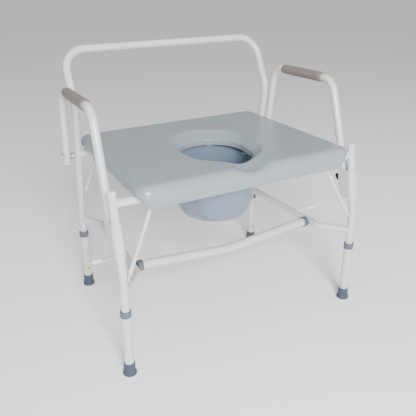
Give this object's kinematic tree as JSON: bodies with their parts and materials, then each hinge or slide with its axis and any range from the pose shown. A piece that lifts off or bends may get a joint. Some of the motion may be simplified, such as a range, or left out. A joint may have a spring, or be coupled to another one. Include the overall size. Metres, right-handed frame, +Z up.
{
  "type": "commode chair",
  "caption": "Bariatric drop-arm commode chair: tube frame on telescoping legs, moulded seat with pail, plug-in backrest and two armrests that unlatch and swing down.",
  "frame": {"origin": "on the floor below the middle of the bounding box", "axes": "+X to the right as seen from the front, the front faces -Y, +Z is up"},
  "size_m": [0.774, 0.5331, 0.7712],
  "materials": {
    "frame_paint": "satin powder coat",
    "zinc": "zinc plated",
    "pale_plastic": "satin",
    "slate_plastic": "satin",
    "foot_rubber": "matte",
    "pad_foam": "smooth vinyl sleeve over foam",
    "knob_plastic": "gloss",
    "clip_brass": "satin",
    "seat_plastic": "smooth moulded, soft gloss",
    "pail_plastic": "gloss"
  },
  "bodies": {
    "frame": {"front_leg_left": "frame_paint", "front_leg_right": "frame_paint", "rear_leg_left": "frame_paint", "rear_leg_right": "frame_paint", "side_rail_left": "frame_paint", "side_rail_right": "frame_paint", "stop_rods": "frame_paint", "stop_rod_tips": "pale_plastic", "front_crossbar": "frame_paint", "rear_crossbar": "frame_paint", "front_brace_left": "frame_paint", "front_brace_right": "frame_paint", "rear_brace_left": "frame_paint", "rear_brace_right": "frame_paint", "lower_stretcher": "frame_paint", "stretcher_rings": "slate_plastic", "frame_bolts": "zinc", "frame_nuts": "zinc", "leg_caps": "pale_plastic", "pail_rails": "zinc", "pivot_bolts": "zinc", "pivot_spacers": "zinc", "pivot_washers": "zinc", "pivot_nuts": "zinc", "latch_brackets": "frame_paint"},
    "backrest": {"backrest_tube": "frame_paint"},
    "seat": {"seat": "seat_plastic"},
    "pail": {"pail": "pail_plastic"},
    "arm_left": {"armrest_tube_left": "frame_paint", "arm_pad_left": "pad_foam", "arm_plug_left": "pale_plastic", "latch_pin_left": "zinc"},
    "latch_left": {"latch_lever_left": "zinc", "latch_knob_left": "knob_plastic"},
    "arm_right": {"armrest_tube_right": "frame_paint", "arm_pad_right": "pad_foam", "arm_plug_right": "pale_plastic", "latch_pin_right": "zinc"},
    "latch_right": {"latch_lever_right": "zinc", "latch_knob_right": "knob_plastic"},
    "extension_front_left": {"extension_front_left": "frame_paint", "collar_front_left": "slate_plastic", "foot_front_left": "foot_rubber"},
    "extension_front_right": {"extension_front_right": "frame_paint", "collar_front_right": "slate_plastic", "foot_front_right": "foot_rubber"},
    "extension_rear_left": {"extension_rear_left": "frame_paint", "collar_rear_left": "slate_plastic", "foot_rear_left": "foot_rubber"},
    "extension_rear_right": {"extension_rear_right": "frame_paint", "collar_rear_right": "slate_plastic", "foot_rear_right": "foot_rubber"},
    "clip_front_left": {"spring_clip_front_left": "clip_brass"},
    "clip_front_right": {"spring_clip_front_right": "clip_brass"},
    "clip_rear_left": {"spring_clip_rear_left": "clip_brass"},
    "clip_rear_right": {"spring_clip_rear_right": "clip_brass"}
  },
  "joints": [
    {"name": "arm_drop_left", "type": "hinge", "parent": "frame", "child": "arm_left", "pos_m": [-0.359, 0.2, 0.466], "axis": [0.9998, -0.0209, 0], "range_deg": [0, 75]},
    {"name": "latch_press_left", "type": "hinge", "parent": "arm_left", "child": "latch_left", "pos_m": [-0.36744, -0.20307, 0.38737], "axis": [-0.9998, 0.0209, 0], "range_deg": [0, 18], "stiffness_Nm_per_rad": 0.5, "springref_deg": -17.19},
    {"name": "arm_drop_right", "type": "hinge", "parent": "frame", "child": "arm_right", "pos_m": [0.359, 0.2, 0.466], "axis": [0.9998, 0.0209, 0], "range_deg": [0, 75]},
    {"name": "latch_press_right", "type": "hinge", "parent": "arm_right", "child": "latch_right", "pos_m": [0.36744, -0.20307, 0.38737], "axis": [-0.9998, -0.0209, 0], "range_deg": [0, 18], "stiffness_Nm_per_rad": 0.5, "springref_deg": -17.19},
    {"name": "leg_height_front_left", "type": "slide", "parent": "frame", "child": "extension_front_left", "axis": [0, 0, -1], "range_m": [0, 0.1016]},
    {"name": "leg_height_front_right", "type": "slide", "parent": "frame", "child": "extension_front_right", "axis": [0, 0, -1], "range_m": [0, 0.1016]},
    {"name": "leg_height_rear_left", "type": "slide", "parent": "frame", "child": "extension_rear_left", "axis": [0, 0, -1], "range_m": [0, 0.1016]},
    {"name": "leg_height_rear_right", "type": "slide", "parent": "frame", "child": "extension_rear_right", "axis": [0, 0, -1], "range_m": [0, 0.1016]},
    {"name": "button_press_front_left", "type": "slide", "parent": "frame", "child": "clip_front_left", "axis": [0, -1, 0], "range_m": [0, 0.004], "stiffness_N_per_m": 500, "springref_m": -0.006, "deforming": ["spring_clip_front_left"]},
    {"name": "button_press_front_right", "type": "slide", "parent": "frame", "child": "clip_front_right", "axis": [0, -1, 0], "range_m": [0, 0.004], "stiffness_N_per_m": 500, "springref_m": -0.006, "deforming": ["spring_clip_front_right"]},
    {"name": "button_press_rear_left", "type": "slide", "parent": "frame", "child": "clip_rear_left", "axis": [0, 1, 0], "range_m": [0, 0.004], "stiffness_N_per_m": 500, "springref_m": -0.006, "deforming": ["spring_clip_rear_left"]},
    {"name": "button_press_rear_right", "type": "slide", "parent": "frame", "child": "clip_rear_right", "axis": [0, 1, 0], "range_m": [0, 0.004], "stiffness_N_per_m": 500, "springref_m": -0.006, "deforming": ["spring_clip_rear_right"]},
    {"name": "backrest_pull", "type": "slide", "parent": "frame", "child": "backrest", "axis": [0, -0.156, 0.9878], "range_m": [0, 0.05]},
    {"name": "seat_lift", "type": "slide", "parent": "frame", "child": "seat", "axis": [0, 0, 1], "range_m": [0, 0.12]},
    {"name": "pail_slide", "type": "slide", "parent": "frame", "child": "pail", "axis": [0, 1, 0], "range_m": [0, 0.05]}
  ]
}
